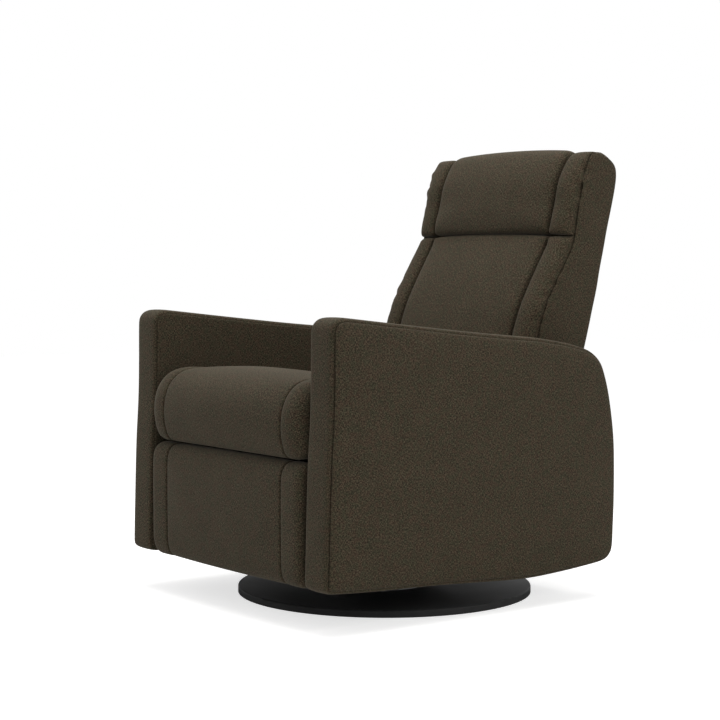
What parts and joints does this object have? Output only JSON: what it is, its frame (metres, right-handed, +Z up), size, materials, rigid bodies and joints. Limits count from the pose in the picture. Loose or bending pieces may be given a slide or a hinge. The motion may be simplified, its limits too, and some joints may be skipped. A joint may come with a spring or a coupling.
{
  "type": "swivel glider recliner",
  "caption": "Upholstered swivel glider recliner with a round base, panel arms, a headrest cushion and a fold-out footrest.",
  "frame": {"origin": "centre of the round base on the floor", "axes": "+Z up, the sitter faces -Y, +X is the sitter's left"},
  "size_m": [0.744, 0.8716, 0.966],
  "materials": {
    "base_wood": "sealed board",
    "base_metal": "satin powder coat",
    "steel_black": "semi-gloss black paint",
    "steel_zinc": "zinc plated",
    "frame_wood": "raw plywood and hardwood",
    "webbing": "woven elastic webbing",
    "upholstery": "heathered tweed weave",
    "lever_black": "fine grain"
  },
  "bodies": {
    "base": {"base_board": "base_wood", "base_shell": "base_metal", "swivel_pedestal": "steel_zinc", "bearing_balls": "steel_zinc", "base_bolts": "steel_zinc"},
    "turntable": {"swivel_hub": "steel_zinc", "glide_beam_front": "steel_black", "glide_beam_rear": "steel_black", "glide_stand_left": "steel_black", "glide_stand_right": "steel_black"},
    "glide_links_front": {"glide_link_front_left": "steel_zinc", "glide_link_front_right": "steel_zinc"},
    "glide_links_rear": {"glide_link_rear_left": "steel_zinc", "glide_link_rear_right": "steel_zinc"},
    "chassis": {"side_plate_left": "steel_black", "side_plate_right": "steel_black", "cross_tube_front": "steel_black", "cross_tube_rear": "steel_black", "seat_track_left": "steel_zinc", "seat_track_right": "steel_zinc", "rear_apron": "upholstery", "arm_outer_panel_left": "upholstery", "arm_outer_panel_right": "upholstery", "arm_inner_panel_left": "upholstery", "arm_inner_panel_right": "upholstery", "arm_band_left": "upholstery", "arm_band_right": "upholstery", "arm_board_left": "frame_wood", "arm_board_right": "frame_wood"},
    "seat": {"seat_side_left": "steel_black", "seat_side_right": "steel_black", "seat_rail_front": "frame_wood", "seat_rail_rear": "frame_wood", "seat_webbing": "webbing", "seat_cushion": "upholstery"},
    "back": {"back_stile_left": "steel_black", "back_stile_right": "steel_black", "back_rail_top": "frame_wood", "back_rail_bottom": "frame_wood", "back_webbing": "webbing", "lumbar_cushion": "upholstery", "head_cushion": "upholstery", "back_bolster_left": "upholstery", "back_bolster_right": "upholstery", "back_cover": "upholstery"},
    "footrest_drive": {"footrest_arm_left": "steel_zinc", "footrest_arm_right": "steel_zinc", "footrest_drive_tube": "steel_zinc"},
    "footrest_crossing": {"footrest_cross_left": "steel_zinc", "footrest_cross_right": "steel_zinc"},
    "footrest_reaching": {"footrest_reach_left": "steel_zinc", "footrest_reach_right": "steel_zinc"},
    "footrest_guiding": {"footrest_guide_left": "steel_zinc", "footrest_guide_right": "steel_zinc"},
    "footrest": {"footrest_bracket_left": "steel_black", "footrest_bracket_right": "steel_black", "footrest_board": "frame_wood", "footrest_pad": "upholstery"},
    "release": {"release_lever": "lever_black"}
  },
  "joints": [
    {"name": "swivel", "type": "hinge", "parent": "base", "child": "turntable", "pos_m": [0, 0, 0.03], "axis": [0, 0, 1], "continuous": true},
    {"name": "glide_swing", "type": "hinge", "parent": "turntable", "child": "glide_links_front", "pos_m": [0, -0.125, 0.2], "axis": [1, 0, 0], "range_deg": [-14, 14]},
    {"name": "glide_level", "type": "hinge", "parent": "glide_links_front", "child": "chassis", "pos_m": [0, -0.125, 0.095], "axis": [1, 0, 0], "range_deg": [-14, 14]},
    {"name": "glide_rear_swing", "type": "hinge", "parent": "turntable", "child": "glide_links_rear", "pos_m": [0, 0.125, 0.2], "axis": [1, 0, 0], "range_deg": [-14, 14]},
    {"name": "seat_shift", "type": "slide", "parent": "chassis", "child": "seat", "axis": [0, -1, 0], "range_m": [0, 0.05]},
    {"name": "back_recline", "type": "hinge", "parent": "seat", "child": "back", "pos_m": [0, 0.262, 0.352], "axis": [-1, 0, 0], "range_deg": [0, 35]},
    {"name": "footrest_open", "type": "hinge", "parent": "seat", "child": "footrest_drive", "pos_m": [0, -0.2927, 0.098], "axis": [1, 0, 0], "range_deg": [0, 52]},
    {"name": "footrest_cross_turn", "type": "hinge", "parent": "footrest_drive", "child": "footrest_crossing", "pos_m": [0, -0.31094, 0.2014], "axis": [-1, 0, 0], "range_deg": [0, 156]},
    {"name": "footrest_reach_turn", "type": "hinge", "parent": "footrest_drive", "child": "footrest_reaching", "pos_m": [0, -0.32917, 0.30481], "axis": [-1, 0, 0], "range_deg": [0, 156]},
    {"name": "footrest_guide_turn", "type": "hinge", "parent": "footrest_reaching", "child": "footrest_guiding", "pos_m": [0, -0.33284, 0.19987], "axis": [1, 0, 0], "range_deg": [0, 156]},
    {"name": "footrest_board_turn", "type": "hinge", "parent": "footrest_reaching", "child": "footrest", "pos_m": [0, -0.3365, 0.09494], "axis": [1, 0, 0], "range_deg": [0, 24]},
    {"name": "release_lever_pull", "type": "hinge", "parent": "chassis", "child": "release", "pos_m": [-0.36, -0.15, 0.33], "axis": [-1, 0, 0], "range_deg": [0, 30], "stiffness_Nm_per_rad": 0.8, "springref_deg": -20.05}
  ],
  "couplings": [
    {"joint": "glide_level", "follows": "glide_swing", "ratio": -1},
    {"joint": "glide_rear_swing", "follows": "glide_swing", "ratio": 1},
    {"joint": "seat_shift", "follows": "back_recline", "m_per_rad": 0.081851},
    {"joint": "footrest_cross_turn", "follows": "footrest_open", "ratio": 3},
    {"joint": "footrest_reach_turn", "follows": "footrest_open", "ratio": 3},
    {"joint": "footrest_guide_turn", "follows": "footrest_open", "ratio": 3},
    {"joint": "footrest_board_turn", "follows": "footrest_open", "ratio": 0.46154}
  ]
}
